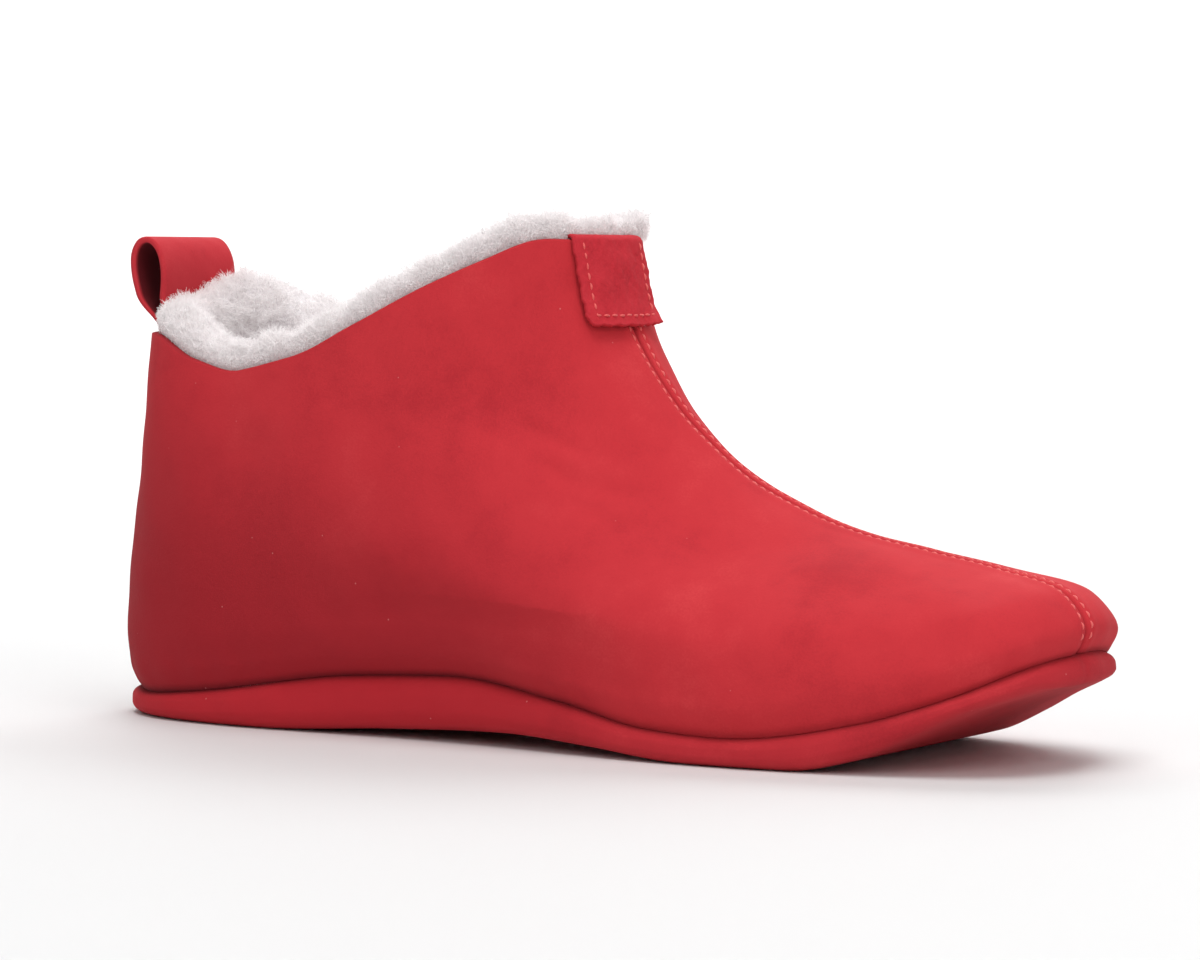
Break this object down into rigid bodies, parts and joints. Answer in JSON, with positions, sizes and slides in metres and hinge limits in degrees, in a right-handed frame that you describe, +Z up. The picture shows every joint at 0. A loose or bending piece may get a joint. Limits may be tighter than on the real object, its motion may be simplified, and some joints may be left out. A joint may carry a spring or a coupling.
{
  "type": "ankle slipper",
  "caption": "Soft leather ankle slipper with a thick fleece lining, turned-up soft sole, front tab and heel pull loop.",
  "frame": {"origin": "on the floor plane under the middle of the heel, on the sole's flat heel spot", "axes": "+X along the slipper from heel to toe, -Y the inner side of the left foot, +Z up"},
  "size_m": [0.2699, 0.0932, 0.128],
  "materials": {
    "upper": "matt nubuck",
    "sole": "matt nubuck",
    "insole": "fleece",
    "fleece_lining": "fleece",
    "front_tab": "suede",
    "heel_loop": "matt nubuck"
  },
  "bodies": {
    "root": {"upper": "upper", "sole": "sole", "insole": "insole", "fleece_lining": "fleece_lining", "front_tab": "front_tab", "heel_loop": "heel_loop"}
  },
  "joints": []
}
